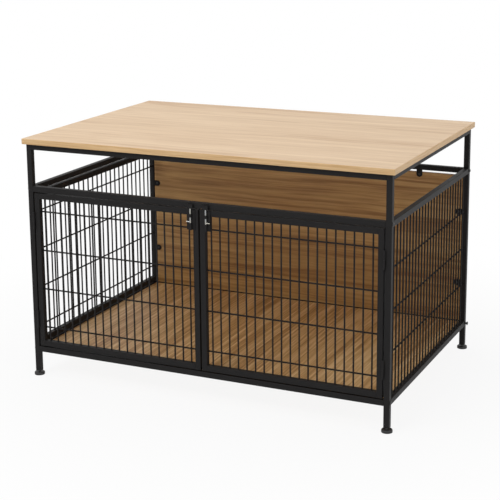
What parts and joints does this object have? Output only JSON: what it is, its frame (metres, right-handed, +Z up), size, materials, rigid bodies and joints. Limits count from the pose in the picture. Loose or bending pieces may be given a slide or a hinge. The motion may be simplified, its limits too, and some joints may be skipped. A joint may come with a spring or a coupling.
{
  "type": "pet crate",
  "caption": "Furniture-style pet crate: square tube frame on levelling feet, double mesh doors with slide bolts, mesh sides, wooden back and floor, wooden table top over an open shelf.",
  "frame": {"origin": "on the floor, under the middle of the crate", "axes": "+X to the right as seen from the doors, +Y from the doors to the back, +Z up"},
  "size_m": [1.1, 0.74, 0.7],
  "materials": {
    "powder_coat": "satin charcoal black powder coat",
    "oak_top": "matt pale oak decor with a golden edge band",
    "oak_floor": "matt oak decor",
    "oak_back": "matt oak decor",
    "zinc_plate": "bright zinc plating",
    "black_screw": "satin black",
    "foot_plastic": "matt black moulded",
    "plug_plastic": "matt black moulded"
  },
  "bodies": {
    "crate_frame": {"back_panel": "oak_back", "back_panel_ears": "powder_coat", "back_panel_screws": "black_screw", "floor_panel": "oak_floor", "floor_tabs": "powder_coat", "frame_bolts": "black_screw", "front_bottom_rail": "powder_coat", "front_left_post": "powder_coat", "front_middle_rail": "powder_coat", "front_right_post": "powder_coat", "front_top_rail": "powder_coat", "hinge_pins": "zinc_plate", "latch_keepers": "powder_coat", "left_bottom_rail": "powder_coat", "left_mesh_bars": "powder_coat", "left_mesh_cross_wires": "powder_coat", "left_mesh_lower_bar": "powder_coat", "left_mesh_upper_bar": "powder_coat", "left_middle_rail": "powder_coat", "left_top_rail": "powder_coat", "leg_plugs": "plug_plastic", "post_hinge_barrels": "powder_coat", "rail_end_nuts": "zinc_plate", "rear_bottom_rail": "powder_coat", "rear_left_post": "powder_coat", "rear_middle_rail": "powder_coat", "rear_right_post": "powder_coat", "rear_top_rail": "powder_coat", "right_bottom_rail": "powder_coat", "right_mesh_bars": "powder_coat", "right_mesh_cross_wires": "powder_coat", "right_middle_rail": "powder_coat", "right_top_rail": "powder_coat", "table_top": "oak_top", "table_top_screws": "black_screw"},
    "left_door": {"left_door_bars": "powder_coat", "left_door_cross_wires": "powder_coat", "left_door_hinge_barrels": "powder_coat", "left_door_hinge_stile": "powder_coat", "left_door_latch_stile": "powder_coat", "left_door_lower_rail": "powder_coat", "left_door_upper_rail": "powder_coat", "left_latch_housing": "powder_coat"},
    "right_door": {"right_door_bars": "powder_coat", "right_door_cross_wires": "powder_coat", "right_door_hinge_barrels": "powder_coat", "right_door_hinge_stile": "powder_coat", "right_door_latch_stile": "powder_coat", "right_door_lower_rail": "powder_coat", "right_door_upper_rail": "powder_coat", "right_latch_housing": "powder_coat"},
    "left_latch": {"left_latch_bolt": "zinc_plate"},
    "right_latch": {"right_latch_bolt": "zinc_plate"},
    "front_left_foot": {"front_left_foot": "foot_plastic"},
    "front_right_foot": {"front_right_foot": "foot_plastic"},
    "rear_left_foot": {"rear_left_foot": "foot_plastic"},
    "rear_right_foot": {"rear_right_foot": "foot_plastic"}
  },
  "joints": [
    {"name": "left_door_swing", "type": "hinge", "parent": "crate_frame", "child": "left_door", "pos_m": [-0.523, -0.3645, 0.3175], "axis": [0, 0, -1], "range_deg": [0, 170]},
    {"name": "right_door_swing", "type": "hinge", "parent": "crate_frame", "child": "right_door", "pos_m": [0.523, -0.3645, 0.3175], "axis": [0, 0, 1], "range_deg": [0, 170]},
    {"name": "left_latch_slide", "type": "slide", "parent": "left_door", "child": "left_latch", "axis": [0, 0, 1], "range_m": [0, 0.01]},
    {"name": "right_latch_slide", "type": "slide", "parent": "right_door", "child": "right_latch", "axis": [0, 0, 1], "range_m": [0, 0.01]},
    {"name": "front_left_foot_turn", "type": "hinge", "parent": "crate_frame", "child": "front_left_foot", "pos_m": [-0.533, -0.353, 0.006], "axis": [0, 0, 1], "continuous": true},
    {"name": "front_right_foot_turn", "type": "hinge", "parent": "crate_frame", "child": "front_right_foot", "pos_m": [0.533, -0.353, 0.006], "axis": [0, 0, 1], "continuous": true},
    {"name": "rear_left_foot_turn", "type": "hinge", "parent": "crate_frame", "child": "rear_left_foot", "pos_m": [-0.533, 0.353, 0.006], "axis": [0, 0, 1], "continuous": true},
    {"name": "rear_right_foot_turn", "type": "hinge", "parent": "crate_frame", "child": "rear_right_foot", "pos_m": [0.533, 0.353, 0.006], "axis": [0, 0, 1], "continuous": true}
  ]
}
